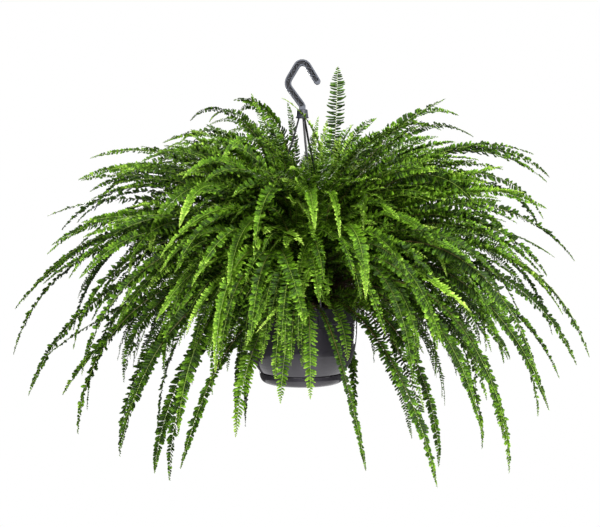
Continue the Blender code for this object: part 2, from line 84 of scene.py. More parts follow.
CLUSTERS = 12
FILLERS = 370
INNER_FRONDS = 130
FRONT_FRONDS = 100
CREST_FRONDS = 110
LOOP_FRONDS = 5
SCREEN_FRONDS = 14
GOLDEN_ANGLE = 137.508
GOLDEN_SHARE = 0.618034
AGE_SHARE = 0.41421356  # the square root of 2, less 1: another step that never bunches up
SHORTEST = 0.12  # trimming stops once a frond is shorter than this
STUB = 0.125  # in front of the pot, shorter ones are left out
LONG_FROND = 0.45  # above this length the leaflets are fuller
RIGID_BLUNT = 12.0  # above this bluntness a frond is a stiff upright one

STRAPS_LEFT, STRAPS_RIGHT, STRAPS_LOW = -0.036, 0.018, -0.165  # where the straps stay in view
POT_LEFT, POT_MIDDLE, POT_RIGHT, POT_FRONT = -0.115, 0.010, 0.118, -0.060
POT_VIEW_LEFT, POT_VIEW_RIGHT = -0.530, -0.450  # each half of the pot stays in view below this
LIMITS = (-0.560, 0.555), (-0.400, 0.585)  # x and y that no added frond's midrib passes
LOWEST = -0.800

PINNA_LENGTH = 0.0250
PINNA_SPACING = 0.0050, 0.0016  # on a frond of no length, and added for each metre of length
PINNA_FULLNESS = 0.40, 0.48  # half-width as a share of the spacing, on short and on long fronds
RACHIS_RADIUS = 0.0012


class Frond(NamedTuple):
    """One leaf: where it starts, how long it is and how its midrib turns. Angles in degrees."""

    azimuth: float
    base_radius: float
    length: float
    rise: float
    droop: float
    ease: float = 1.0
    sway: float = 0.0
    twist: float = 0.0
    width: float = 1.0
    youth: float = 0.0  # 0 is an old dark frond, 1 a young pale one
    blunt: float = 6.0  # how late the blade narrows to its tip
    plain: bool = False  # in a cluster, plain leaflets instead of rough ones


class Tier(NamedTuple):
    """A ring of fronds in the three bays between the straps."""

    per_bay: int
    phase: float
    margin: float
    base_radius: float
    length: float
    rise: float
    droop: float
    ease: float


TIERS = (
    Tier(2, 0.50, 20, 0.016, 0.500, 81, 24, 1.20),
    Tier(2, 0.50, 10, 0.024, 0.580, 74, -18, 1.15),
    Tier(3, 0.70, 12, 0.032, 0.655, 67, -54, 1.05),
    Tier(3, 0.30, 8, 0.040, 0.740, 59, -76, 0.95),
    Tier(3, 0.70, 8, 0.047, 0.660, 51, -88, 0.75),
    Tier(3, 0.30, 10, 0.054, 0.580, 44, -90, 0.55),
)

UPRIGHT_FRONDS = (
    Frond(-7, 0.026, 0.472, 80.1, 89, 1.0, twist=92, width=0.90, youth=0.02, blunt=16),
    Frond(148, 0.012, 0.440, 86, 62, 1.2, twist=-25, width=0.75),
)

LOW_FRONT_FRONDS = (
    Frond(-111, 0.058, 0.365, 40, -82, 0.48, -11, width=0.90, youth=0.80),
    Frond(-97, 0.058, 0.270, 38, -82, 0.48, -11, width=0.75, youth=0.60),
    Frond(-85, 0.058, 0.290, 40, -86, 0.62, -6, width=0.75, youth=0.60),
    Frond(-63, 0.058, 0.200, 40, -84, 0.70, -7, width=0.75, youth=0.60),
    Frond(-38, 0.058, 0.375, 40, -84, 0.45, 0, width=0.70, youth=0.20),
)

HIGH_FRONT_FRONDS = (
    Frond(-115, 0.036, 0.485, 82, -90, 1.23, 8, width=0.75, youth=0.60),
    Frond(-102, 0.028, 0.555, 84, -75, 1.29, width=0.75, youth=0.40),
    Frond(-64, 0.036, 0.470, 71, -90, 1.40, -18, width=0.75, youth=0.75),
    Frond(-88, 0.020, 0.510, 86, -50, 1.16, 2, width=0.75, youth=0.65),
)

ACCENT_FRONDS = (  # single fronds that stand out from the mass
    # long ones in the left half
    Frond(152, 0.035, 0.745, 64, -43, 1.05, -5),
    Frond(185, 0.035, 0.540, 64, -50, 1.55, -13),
    Frond(204, 0.019, 0.600, 79, -41, 0.80),
    Frond(183, 0.045, 0.640, 54, -72, 0.70, 2),
    Frond(194, 0.012, 0.675, 88, -51, 0.60, 10),
    Frond(196, 0.042, 0.535, 56, -42, 0.95, 7),
    Frond(203, 0.054, 0.495, 41, -38, 0.55),
    Frond(185, 0.052, 0.510, 46, -57, 0.50, 2),
    Frond(235, 0.054, 0.580, 40, -78, 0.80, -9),
    Frond(232, 0.040, 0.550, 58, -63, 0.55),
    Frond(215, 0.054, 0.470, 40, -85, 0.45, 4),
    Frond(246, 0.054, 0.500, 40, -65, 0.45, -12),
    Frond(108, 0.054, 0.790, 40, -90, 0.50, 13, width=0.8),
    # young ones that hang in the left half
    Frond(236, 0.038, 0.540, 61, -58, 1.90, 13, youth=0.8),
    Frond(213, 0.010, 0.550, 88, -86, 1.40, 2, youth=0.7),
    Frond(244, 0.013, 0.565, 85, -42, 0.80, -9, youth=0.6),
    Frond(235, 0.033, 0.480, 66, -45, 1.05, 2, youth=0.6),
    Frond(209, 0.025, 0.490, 73, -80, 1.35, -2, youth=0.7),
    Frond(246, 0.017, 0.525, 80, -52, 0.85, -3, youth=0.5),
    Frond(236, 0.016, 0.365, 82, -71, 0.95, 2, width=0.7, youth=0.9),
    Frond(237, 0.027, 0.485, 72, -49, 0.70, -4, youth=0.6),
    Frond(230, 0.012, 0.480, 86, -72, 0.75, 0, youth=0.6),
    Frond(240, 0.046, 0.410, 52, -54, 0.90, 0, youth=0.8),
    Frond(244, 0.033, 0.540, 66, -92, 1.00, 12, youth=0.8),
    # young ones that hang in the right half
    Frond(-22, 0.010, 0.430, 88, -65, 1.35, 0, youth=0.8),
    Frond(-14, 0.010, 0.470, 88, -61, 1.60, 4, youth=0.8),
    Frond(-11, 0.017, 0.220, 80, -4, 0.50, 0, youth=0.6),
    Frond(-57, 0.020, 0.510, 78, -35, 0.50, 8, width=1.4, youth=0.9),
    Frond(-41, 0.047, 0.245, 51, -68, 0.65, -3, youth=0.5),
    Frond(-40, 0.054, 0.345, 42, -78, 0.50, 3, youth=0.8),
    Frond(-35, 0.019, 0.550, 78, -6, 0.60, -1, youth=0.7),
    Frond(-8, 0.013, 0.495, 84, 8, 0.55, -7, youth=0.6),
    # the crest left of the straps
    Frond(156, 0.012, 0.605, 86, -35, 2.05, -31, -90, 0.6, 0.3),
    Frond(127, 0.010, 0.510, 89, -13, 3.10, 15, -100, 1.0, 0.3),
    Frond(120, 0.011, 0.590, 87, -30, 2.20, -2, -90, 1.1, 0.5),
    Frond(101, 0.036, 0.645, 63, -24, 2.50, 32, -60, 1.1, 0.7),
    Frond(169, 0.010, 0.525, 89, -33, 1.90, 0, -80, 0.9, 0.3),
    Frond(179, 0.017, 0.570, 80, -20, 1.20, 2),
    Frond(180, 0.033, 0.550, 66, -65, 2.00, -8),
    Frond(141, 0.017, 0.555, 80, -38, 2.90, -14, youth=0.5),
    Frond(155, 0.014, 0.540, 83, -50, 2.40, -6, youth=0.6),
    Frond(240, 0.012, 0.500, 87, -70, 2.60, -8, youth=0.4),
    Frond(200, 0.012, 0.480, 87, -50, 2.40, -6, youth=0.5),
    # the young one that crosses the collar, then young upright ones beside the straps
    Frond(174, -0.030, 0.440, 96, 22, 3.35, 21, youth=1.0),
    Frond(62, 0.014, 0.375, 84, 66, 1.10, youth=0.9),
    Frond(45, 0.014, 0.370, 86, 70, 1.10, 0, 40, youth=0.8),
    Frond(70, 0.014, 0.360, 87, 72, 1.10, youth=0.9),
    Frond(-60, 0.014, 0.350, 86, 70, 1.10, youth=0.8),
    Frond(-40, 0.016, 0.340, 85, 66, 1.10, 0, -40, youth=0.9),
    Frond(30, 0.020, 0.360, 84, 62, 1.10, 0, 60, youth=0.7),
    # the crest right of the straps
    Frond(76, 0.010, 0.410, 89, 48, 1.25, youth=0.6),
    Frond(58, 0.015, 0.455, 82, 21, 1.45, 8, youth=0.5),
    Frond(70, 0.016, 0.405, 81, 56, 1.05, 1.0, youth=0.4),
    Frond(40, 0.014, 0.440, 84, 10, 1.60, 6, youth=0.6),
    Frond(15, 0.012, 0.430, 86, -10, 1.80, 6, youth=0.4),
    Frond(53, 0.019, 0.490, 78, 12, 1.90, 2, youth=0.3),
    Frond(29, 0.021, 0.540, 77, -24, 2.30, -1, youth=0.4),
    Frond(49, 0.032, 0.755, 67, -19, 1.35, -1, youth=0.1),
    Frond(31, 0.025, 0.610, 73, -16, 2.05, 5, youth=0.3),
    Frond(14, 0.034, 0.670, 65, -45, 1.75, youth=0.2),
    Frond(4, 0.037, 0.620, 62, -66, 1.85, 8, youth=0.1),
    Frond(-20, 0.016, 0.500, 82, -12, 1.20, youth=0.4),
    # long ones in the right half
    Frond(23, 0.031, 0.705, 68, -40, 1.40, -3),
    Frond(12, 0.028, 0.620, 74, -20, 1.25, -3),
    Frond(25, 0.043, 0.740, 55, -55, 1.55, 12),
    Frond(13, 0.029, 0.630, 70, -33, 0.65, 14),
    Frond(-12, 0.030, 0.560, 70, -30, 1.10),
    Frond(-16, 0.040, 0.620, 58, -68, 0.80),
    Frond(11, 0.042, 0.735, 57, -64, 0.60, 9),
    Frond(-33, 0.014, 0.675, 83, -72, 0.55),
    Frond(-43, 0.054, 0.600, 41, -77, 0.85, -12),
    Frond(-48, 0.044, 0.600, 54, -72, 0.65, -10),
    Frond(-60, 0.054, 0.520, 40, -72, 0.45, 8, youth=0.3),
    Frond(-59, 0.048, 0.425, 50, -72, 0.45, 5, youth=0.3),
    Frond(-79, 0.054, 0.470, 40, -70, 0.45, 13, width=0.7),
    # two pale ones in front
    Frond(-72, 0.013, 0.480, 85, -62, 1.35, -12, youth=0.8),
    Frond(-80, 0.044, 0.395, 55, -30, 0.50, -48, width=0.48, youth=1.0),
    # short ones over the rim
    Frond(-116, 0.056, 0.270, 44, -84, 0.60, -4, youth=0.3),
    Frond(-104, 0.056, 0.245, 46, -84, 0.60, 3, youth=0.4),
    Frond(-94, 0.050, 0.265, 54, -86, 0.75, -3, youth=0.3),
    Frond(-91, 0.056, 0.205, 46, -84, 0.60, 3, youth=0.3),
    Frond(-122, 0.050, 0.300, 54, -86, 0.75, 2, youth=0.2),
    Frond(-108, 0.046, 0.300, 60, -88, 0.80, 4, youth=0.3),
    Frond(-34, 0.056, 0.260, 42, -58, 0.60, youth=0.4),
    Frond(-62, 0.054, 0.150, 44, -34, 0.80, 10, youth=0.3),
    Frond(-48, 0.054, 0.165, 46, -38, 0.80, -10, youth=0.3),
    Frond(-74, 0.050, 0.150, 50, -34, 0.80, youth=0.2),
)


# Materials


class Look:
    """The node tree of a material or of the world, with short ways to build it."""

    def __init__(self, owner):
        owner.use_nodes = True
        self.owner = owner
        self.nodes = owner.node_tree.nodes
        self.links = owner.node_tree.links

    def put(self, value, socket):
        """Sets a socket to a number or a colour, or links another node's output to it."""
        if isinstance(value, (int, float, tuple)):
            socket.default_value = value
        else:
            self.links.new(value, socket)

    def fill(self, node, **settings):
        """Sets properties and fills sockets by name; a socket's spaces are written _."""
        for key, value in settings.items():
            if key in node.bl_rna.properties:
                setattr(node, key, value)
            else:
                self.put(value, node.inputs[key.replace("_", " ")])
        return node

    def add(self, kind, *values, **settings):
        """A new node; the values fill its first sockets."""
        made = self.fill(self.nodes.new(kind), **settings)
        for value, socket in zip(values, made.inputs):
            self.put(value, socket)
        return made

    def surface(self, **settings):
        """Fills the Principled shader and gives the material back."""
        self.fill(self.nodes["Principled BSDF"], **settings)
        return self.owner

    def maths(self, operation, *values):
        return self.add("ShaderNodeMath", *values, operation=operation).outputs[0]

    def times(self, first, second):
        return self.maths("MULTIPLY", first, second)

    def plus(self, total, *others):
        for other in others:
            total = self.maths("ADD", total, other)
        return total

    def mixed(self, factor, first, second):
        """A colour between the first, where the factor is 0, and the second."""
        made = self.add("ShaderNodeMix", factor, data_type="RGBA", clamp_result=True)
        for name, value in (("A_Color", first), ("B_Color", second)):
            self.put(value, next(s for s in made.inputs if s.identifier == name))
        return next(s for s in made.outputs if s.identifier == "Result_Color")

    def ramp(self, value, *stops):
        """The colour for a value, from (place, colour) stops."""
        made = self.add("ShaderNodeValToRGB", value)
        line = made.color_ramp.elements
        while len(line) < len(stops):
            line.new(0.5)
        for stop, (place, colour) in zip(line, stops):
            stop.position = place
            stop.color = (*colour, 1.0)
        return made.outputs[0]

    def place(self):
        """A place in the object's own coordinates, which are metres."""
        return self.add("ShaderNodeTexCoord").outputs["Object"]

    def parts(self, vector):
        return self.add("ShaderNodeSeparateXYZ", vector).outputs

    def blade(self):
        """The three values that each point of a frond carries."""
        return self.parts(self.add("ShaderNodeAttribute", attribute_name="blade").outputs["Vector"])

    def noise(self, scale, detail, stretch=None):
        place = self.place()
        if stretch:
            place = self.add("ShaderNodeMapping", Vector=place, Scale=stretch).outputs[0]
        made = self.add("ShaderNodeTexNoise", Vector=place, Scale=scale, Detail=detail)
        return made.outputs["Fac"]

    def spread_to(self, value, low, high, source_low=0.0, source_high=1.0):
        """The value moved from its own range to low..high, and kept inside it."""
        made = self.add("ShaderNodeMapRange", value, source_low, source_high, low, high)
        return made.outputs["Result"]

    def bump(self, height, strength, distance):
        made = self.add("ShaderNodeBump", Strength=strength, Distance=distance, Height=height)
        return made.outputs["Normal"]


def new_look(name):
    return Look(bpy.data.materials.new(name))


def leaf_material():
    """Pinnae: blade holds the place along and across the pinna, and its tone."""
    look = new_look("fern_leaf")
    along, across, tone = look.blade()
    patchy = look.noise(300.0, 3.0)
    clouds = look.spread_to(patchy, -0.22, 0.22, 0.30, 0.70)
    # Painted shade darkens each pinna at its root by the rachis, and a painted highlight lightens it
    # towards its tip.
    painted_root_shade_tip_highlight = look.spread_to(along, -0.16, 0.22, 0.2, 0.95)
    # Painted shade on the side of each pinna that is tucked under its neighbour, and painted light on
    # its leading side.
    painted_overlap_shade = look.spread_to(across, -0.15, 0.13, -1.0, 1.0)
    green = look.ramp(
        look.plus(tone, clouds, painted_root_shade_tip_highlight, painted_overlap_shade),
        (0.00, (0.007, 0.020, 0.001)),
        (0.30, (0.032, 0.084, 0.001)),
        (0.60, (0.098, 0.208, 0.010)),
        (0.85, (0.232, 0.390, 0.040)),
        (1.00, (0.370, 0.505, 0.095)),
    )
    offset = look.maths("ABSOLUTE", across)
    vein = look.spread_to(offset, 1.0, 0.0, 0.0, 0.22)
    colour = look.mixed(look.times(vein, 0.25), green, (0.16, 0.30, 0.02, 1.0))
    slant = look.plus(look.times(along, 60.0), look.times(offset, -9.0))
    side_veins = look.times(look.maths("SINE", slant), 0.35)
    fold = look.times(vein, -1.0)
    grain = look.times(look.noise(420.0, 3.0), 3.2)
    relief = look.bump(look.plus(side_veins, fold, grain), 0.8, 0.0003)
    return look.surface(Base_Color=colour, Roughness=look.spread_to(patchy, 0.40, 0.56),
                        Specular_IOR_Level=0.13, Normal=relief)


def stalk_material():
    """Rachis and stipe: reddish brown where old, green towards the tip; blade z is the age."""
    look = new_look("fern_stalk")
    patchy = look.noise(140.0, 3.0)
    colour = look.ramp(
        look.plus(look.blade()[2], look.spread_to(patchy, -0.12, 0.12)),
        (0.00, (0.035, 0.016, 0.008)),
        (0.35, (0.080, 0.036, 0.012)),
        (0.70, (0.075, 0.075, 0.012)),
        (1.00, (0.160, 0.250, 0.025)),
    )
    return look.surface(Base_Color=colour, Roughness=look.spread_to(patchy, 0.42, 0.62),
                        Normal=look.bump(look.noise(700.0, 2.0), 0.4, 0.0003))


def scuffed(look, low, high):
    """A roughness with dusty patches drawn out from top to bottom."""
    return look.spread_to(look.noise(55.0, 5.0, (1.0, 1.0, 0.25)), low, high, 0.3, 0.7)


def plastic(name, dark, light, roughness, wear=0.04, grain=1800.0, strength=0.10, gloss=0.5):
    """Moulded plastic: faint clouding in its colour, fine grain and dusty, scuffed patches."""
    look = new_look(name)
    colour = look.ramp(look.noise(14.0, 4.0), (0.30, dark), (0.70, light))
    return look.surface(Base_Color=colour, Roughness=scuffed(look, roughness - wear, roughness + wear),
                        Specular_IOR_Level=gloss,
                        Normal=look.bump(look.noise(grain, 2.0), strength, 0.0001))


def hook_material():
    """Black moulded plastic, lighter on its raised rims and ribs, with painted shade darkening its
    pockets.
    """
    look = new_look("hook_plastic")
    place = look.parts(look.place())
    # Painted shade: near 0 in the recessed pockets, which turn near black, and 1 on the raised rims
    # and ribs, which stay lighter.
    painted_pocket_shade_mask = look.spread_to(look.maths("ABSOLUTE", place[1]), 0.0, 1.0, 0.0016, 0.0050)
    above_collar = look.spread_to(place[2], 0.74, 1.0, -0.0870, -0.0850)
    cloud = look.spread_to(look.noise(160.0, 4.0), -0.12, 0.12)
    colour = look.ramp(
        look.plus(look.times(painted_pocket_shade_mask, above_collar), cloud),
        (0.0, (0.003, 0.003, 0.005)),
        (0.6, (0.010, 0.011, 0.016)),
        (0.9, (0.045, 0.049, 0.062)),
        (1.0, (0.070, 0.075, 0.092)),
    )
    return look.surface(Base_Color=colour, Roughness=scuffed(look, 0.40, 0.52),
                        Specular_IOR_Level=0.2, Normal=look.bump(look.noise(900.0, 2.0), 0.06, 0.0001))


def earth_material():
    """Dark crumbs of peat with paler bits of fibre."""
    look = new_look("peat")
    crumbs = look.noise(420.0, 6.0)
    colour = look.ramp(crumbs, (0.25, (0.010, 0.006, 0.004)), (0.55, (0.045, 0.026, 0.015)),
                       (0.80, (0.120, 0.080, 0.050)))
    return look.surface(Base_Color=colour, Roughness=look.spread_to(crumbs, 0.80, 0.98),
                        Normal=look.bump(crumbs, 0.9, 0.0015))


def rhizome_material():
    """Brown scales on the crown."""
    look = new_look("rhizome")
    scales = look.noise(260.0, 5.0, (1.0, 1.0, 0.35))
    colour = look.ramp(scales, (0.30, (0.022, 0.012, 0.007)), (0.55, (0.090, 0.048, 0.022)),
                       (0.75, (0.200, 0.120, 0.055)))
    return look.surface(Base_Color=colour, Roughness=look.spread_to(scales, 0.70, 0.95),
                        Normal=look.bump(scales, 0.8, 0.0012))


# Pieces


def new_object(name, data):
    made = bpy.data.objects.new(name, data)
    bpy.context.scene.collection.objects.link(made)
    return made


def mesh_from(shape, name):
    mesh = bpy.data.meshes.new(name)
    shape.to_mesh(mesh)
    shape.free()
    return mesh


def placed(name, mesh):
    """An object for the mesh, riding on the part's one body."""
    made = new_object(name, mesh)
    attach(made, "root")
    return made


def add_leaves(name, points, faces, looks, face_looks, blade):
    """A piece of leaflets and stalks. face_looks gives each face its material."""
    mesh = bpy.data.meshes.new(name)
    mesh.from_pydata(points, [], faces)
    for look in looks:
        mesh.materials.append(look)
    mesh.polygons.foreach_set("material_index", face_looks)
    layer = mesh.attributes.new("blade", "FLOAT_VECTOR", "POINT")
    layer.data.foreach_set("vector", np.asarray(blade, dtype=np.float32).ravel())
    mesh.shade_smooth()
    return placed(name, mesh)


def rib(frond, wander=None, lean=0.0):
    """Shares of the length, points, directions, sideways and upward directions along a frond."""
    share = np.arange(PATH_STEPS + 1) / PATH_STEPS
    slope = np.radians(frond.rise + (frond.droop - frond.rise) * share**frond.ease)
    heading = np.radians(frond.azimuth + frond.sway * share)
    if wander:
        lift, turn, phase = wander
        slope = slope + lift * share * np.sin(9.0 * share + phase)
        heading = heading + turn * share * np.sin(7.0 * share + 2.0 * phase)
    level = np.cos(slope)
    ahead = np.stack([np.cos(heading) * level, np.sin(heading) * level, np.sin(slope)], 1)
    side = np.stack([-np.sin(heading), np.cos(heading), 0.0 * heading], 1)
    up = -np.cross(side, ahead)
    roll = np.radians(frond.twist * share + lean)[:, None]
    side, up = side * np.cos(roll) + up * np.sin(roll), up * np.cos(roll) - side * np.sin(roll)
    start = math.radians(frond.azimuth)
    base = np.array([math.cos(start), math.sin(start), 0.0]) * frond.base_radius
    base[2] = FROND_BASE
    runs = np.cumsum(ahead[:-1] * frond.length / PATH_STEPS, 0)
    place = np.vstack([base, base + runs])
    return share, place, ahead, side, up


def blade_spread(share, blunt):
    """Half-width of the blade as a share of its widest, from its base at 0 to its tip at 1."""
    return (1.0 - (1.0 - share) ** 6) * (1.0 - share**blunt) * (1.0 - 0.20 * share)


def along_rib(path, wanted):
    """The rib's frame at the wanted shares of its length."""
    share = path[0]
    return [np.stack([np.interp(wanted, share, line[:, axis]) for axis in range(3)], 1)
            for line in path[1:]]


FINE_PINNA = (  # place along, half-width towards the frond's tip and towards its base, ruffle
    (0.00, 0.45, 0.30, 0.0),
    (0.12, 1.40, 0.80, 0.5),
    (0.38, 1.00, 1.00, -0.7),
    (0.66, 0.96, 0.98, 0.8),
    (0.91, 0.68, 0.70, -0.4),
)
PLAIN_PINNA = (
    (0.00, 0.45, 0.35, 0.0),
    (0.22, 1.25, 1.00, 0.5),
    (0.82, 0.90, 0.90, -0.6),
)
ROUGH_PINNA = (
    (0.00, 0.60, 0.45, 0.0),
    (0.62, 1.15, 1.05, 0.4),
)


class Detail(NamedTuple):
    """How finely a frond is made."""

    pinna: tuple
    stalk_steps: int
    stalk_sides: int


FINE = Detail(FINE_PINNA, 36, 5)
PLAIN = Detail(PLAIN_PINNA, 24, 4)
ROUGH = Detail(ROUGH_PINNA, 16, 3)


def unit(vectors):
    """The same directions, each one unit long."""
    return vectors / np.maximum(np.linalg.norm(vectors, axis=1, keepdims=True), 1e-9)


def pinna_places(frond, spacing, draw):
    """Where each pinna starts along the blade, and 1 or -1 for its side; a few are missing."""
    blade_length = frond.length * (1.0 - STIPE_SHARE)
    count = max(12, int(blade_length / spacing))
    shares = []
    sides = []
    for sign, shift in ((1.0, 0.25), (-1.0, 0.75)):
        own = (np.arange(count) + shift + draw.uniform(-0.12, 0.12, count)) / count
        shares.append(1.0 - (1.0 - own) ** 1.12)
        sides.append(np.full(count, sign))
    own = np.concatenate(shares)
    sign = np.concatenate(sides)[:, None]
    keep = draw.random(len(own)) > 0.015
    return own[keep], sign[keep]


def pinna_faces(stations, flip):
    """Quads and tip triangles of all pinnae; flip says which ones are wound the other way."""
    quads = []
    for station in range(stations - 1):
        low = station * 3
        quads.append((low, low + 3, low + 4, low + 1))
        quads.append((low + 1, low + 4, low + 5, low + 2))
    last = (stations - 1) * 3
    tip = last + 3
    tips = np.array([(last, tip, last + 1), (last + 1, tip, last + 2)])
    first = (np.arange(len(flip)) * (tip + 1))[:, None, None]
    quads = np.array(quads)[None] + first
    tips = tips[None] + first
    quads[flip] = quads[flip][:, :, ::-1]
    tips[flip] = tips[flip][:, :, ::-1]
    return quads.reshape(-1, 4), tips.reshape(-1, 3)


def pinna_axes(path, own, sign, lean, sink, tilt):
    """Each pinna's root, and its directions outwards, towards the frond's tip and off its face."""
    place, ahead, side, up = along_rib(path, STIPE_SHARE + (1.0 - STIPE_SHARE) * own)
    along = unit(side * sign * np.cos(lean) + ahead * np.sin(lean))
    along = unit(along * np.cos(sink) - up * np.sin(sink))
    forward = unit(ahead - along * (ahead * along).sum(1, keepdims=True))
    normal = unit(np.cross(along, forward) * sign)
    turned_forward = forward * np.cos(tilt) + normal * np.sin(tilt)
    return place, along, turned_forward, normal * np.cos(tilt) - forward * np.sin(tilt)


def blade_values(along, across, tone):
    """The attribute blade of one point of every pinna."""
    return np.concatenate((np.full(tone.shape, along), np.full(tone.shape, across), tone), 1)


def pinna_mesh(frond, path, draw, stations):
    """Both rows of pinnae of one frond, as points, quads, triangles and blade values."""
    spacing = (PINNA_SPACING[0] + PINNA_SPACING[1] * frond.length) * draw.uniform(0.90, 1.20)
    own, sign = pinna_places(frond, spacing, draw)

    def vary(low, high):
        return draw.uniform(low, high, len(own))[:, None]

    t = own[:, None]
    long = frond.length > LONG_FROND
    rigid = frond.blunt > RIGID_BLUNT
    loose = 0.40 if frond.youth > 0.55 else 1.0  # young fronds are more regular
    spread = blade_spread(t, frond.blunt)
    length = PINNA_LENGTH * frond.width * spread * vary(0.80, 1.12) + 0.0008
    half = spacing * PINNA_FULLNESS[long] * (0.55 + 0.45 * spread) * vary(0.86, 1.14)
    half = half * (0.85 if rigid else 1.0 + 0.35 * t * long)
    phase = draw.uniform(0.0, 6.28, 2)
    slow = np.sin(11.0 * t + phase[0] + sign), np.sin(17.0 * t + phase[1] - sign)
    lean = np.radians(4.0 + (2.0 if rigid else 24.0) * t + vary(-9.0, 9.0))
    sink = np.radians(draw.uniform(-28.0, 26.0) + 11.0 * slow[0] * loose + vary(-20.0, 22.0) * loose)
    tilt = np.radians(14.0 + 10.0 * slow[1] * loose + vary(-24.0, 24.0) * loose)
    place, along, forward, normal = pinna_axes(path, own, sign, lean, sink, tilt)
    curl = vary(-0.15, 0.50)
    hook = vary(0.02, 0.14)
    ripple = vary(0.15, 0.45)
    fold = vary(0.05, 0.60)
    tip = np.clip((t - 0.76) / 0.24, 0.0, 1.0) ** 1.2
    tone = 0.22 - 0.42 * frond.length + 0.40 * frond.youth + (0.14 + 0.46 * frond.youth) * tip
    tone = tone + vary(-0.28, 0.32) * loose + draw.uniform(-0.06, 0.08) + 0.14 * frond.youth * t
    rows = []
    blades = []
    for at, ahead_width, back_width, wave in stations:
        middle = place + along * length * at + forward * length * hook * at**2
        middle = middle - normal * length * curl * at**2
        ridge = normal * half * wave * ripple
        rows.append(middle + forward * half * ahead_width + ridge + normal * half * fold)
        rows.append(middle)
        rows.append(middle - forward * half * back_width - ridge + normal * half * fold)
        blades.extend(blade_values(at, across, tone) for across in (1.0, 0.0, -1.0))
    rows.append(place + along * length + forward * length * hook - normal * length * curl)
    blades.append(blade_values(1.0, 0.0, tone + 0.04))
    points = np.stack(rows, 1).reshape(-1, 3)
    blade = np.stack(blades, 1).reshape(-1, 3)
    quads, tips = pinna_faces(len(stations), sign[:, 0] > 0.0)
    return points, quads, tips, blade


def stalk_mesh(frond, path, steps, sides):
    """The stipe and rachis as a thin tapering tube."""
    wanted = np.linspace(0.0, 1.0, steps + 1)
    place, _, side, up = along_rib(path, wanted)
    radius = RACHIS_RADIUS * (0.45 + 0.55 * frond.width) * (1.0 - 0.80 * wanted) + 0.0001
    rings = []
    for corner in range(sides):
        turn = 2.0 * math.pi * corner / sides
        rings.append(place + (side * math.cos(turn) + up * math.sin(turn)) * radius[:, None])
    points = np.stack(rings, 1).reshape(-1, 3)
    ages = np.clip((wanted - 0.15) / 0.75 + 0.30 * frond.youth, 0.0, 1.0)
    blade = np.zeros((steps + 1, sides, 3))
    blade[:, :, 2] = ages[:, None]
    quads = []
    for step in range(steps):
        for corner in range(sides):
            after = (corner + 1) % sides
            low = step * sides
            quads.append((low + corner, low + after, low + sides + after, low + sides + corner))
    return points, np.array(quads), blade.reshape(-1, 3)


def frond_mesh(frond, draw, detail):
    """One detailed frond: points, faces, each face's look and blade values."""
    fine = detail is FINE
    wobble = 0.03 if fine else 0.05
    wander = (draw.uniform(-wobble, wobble), draw.uniform(-wobble, wobble), draw.uniform(0.0, 6.0))
    facing = math.cos(math.radians(frond.azimuth))
    lean = facing * (draw.uniform(10.0, 35.0) if fine else draw.uniform(0.0, 60.0))
    if frond.blunt > RIGID_BLUNT:
        lean = 10.0
    elif not fine:
        frond = frond._replace(blunt=draw.uniform(5.0, 10.0))
    path = rib(frond, wander, lean)
    leaf_points, quads, tips, leaf_blade = pinna_mesh(frond, path, draw, detail.pinna)
    stalk_points, tube, stalk_blade = stalk_mesh(frond, path, detail.stalk_steps, detail.stalk_sides)
    points = np.vstack([leaf_points, stalk_points])
    blade = np.vstack([leaf_blade, stalk_blade])
    faces = [*quads.tolist(), *tips.tolist(), *(tube + len(leaf_points)).tolist()]
    looks = [0] * (len(quads) + len(tips)) + [1] * len(tube)
    return points, faces, looks, blade


def plant_fronds(name, fronds, draw, looks, details):
    """One piece from several fronds."""
    points = []
    faces = []
    face_looks = []
    blade = []
    first = 0
    for frond, detail in zip(fronds, details):
        own_points, own_faces, own_looks, own_blade = frond_mesh(frond, draw, detail)
        points.append(own_points)
        blade.append(own_blade)
        faces.extend([first + corner for corner in face] for face in own_faces)
        face_looks.extend(own_looks)
        first += len(own_points)
    return add_leaves(name, np.vstack(points).tolist(), faces, looks, face_looks, np.vstack(blade))


def in_front(azimuth, spread=FRONT_SPREAD):
    """True if the azimuth is within so many degrees of the front."""
    return abs((azimuth - FRONT + 180.0) % 360.0 - 180.0) < spread


def shortened(azimuth, amount=FRONT_SHORTENING):
    """How much of its length a frond keeps; those that face the viewer are shorter."""
    return 1.0 - amount * max(0.0, -math.sin(math.radians(azimuth)))


def tier_fronds():
    """The rings of fronds, with small natural differences; they leave the front open."""
    draw = random.Random(TIER_SEED)
    fronds = []
    for tier in TIERS:
        span = BAY_SPAN - 2.0 * tier.margin
        for bay in BAY_AZIMUTHS:
            for place in range(tier.per_bay):
                share = (place + tier.phase) / tier.per_bay
                azimuth = bay + tier.margin + span * share + draw.uniform(-3.0, 3.0)
                length = tier.length * shortened(azimuth) * draw.uniform(0.92, 1.07)
                sway = draw.uniform(-5.0, 5.0)
                twist = draw.uniform(-14.0, 14.0)
                shape = (tier.rise, tier.droop, tier.ease, sway, twist)
                if not in_front(azimuth):
                    fronds.append(Frond(azimuth, tier.base_radius, length, *shape))
    return fronds


def grown(age, azimuth, pick):
    """A frond between the tiers: age 0 is the innermost, 1 the outermost."""
    at = age * (len(TIERS) - 1)
    ages = range(len(TIERS))

    def between(key):
        return float(np.interp(at, ages, [getattr(tier, key) for tier in TIERS]))

    length = between("length") * shortened(azimuth) * pick(0.60, 1.02)
    rise = between("rise") + pick(-8, 8)
    droop = between("droop") + pick(-16, 22)
    return Frond(azimuth, between("base_radius"), length, rise, droop, between("ease"), pick(-12, 12),
                 pick(-40, 40), pick(0.48, 0.76), pick(0.0, 0.55) * (1.0 - 0.4 * age))


def by_hanger(frond):
    """True if a frond crosses the straps just under the collar, as seen from the front."""
    x, _, z = rib(frond)[1].T
    return bool(((x > STRAPS_LEFT) & (x < STRAPS_RIGHT) & (z > STRAPS_LOW)).any())


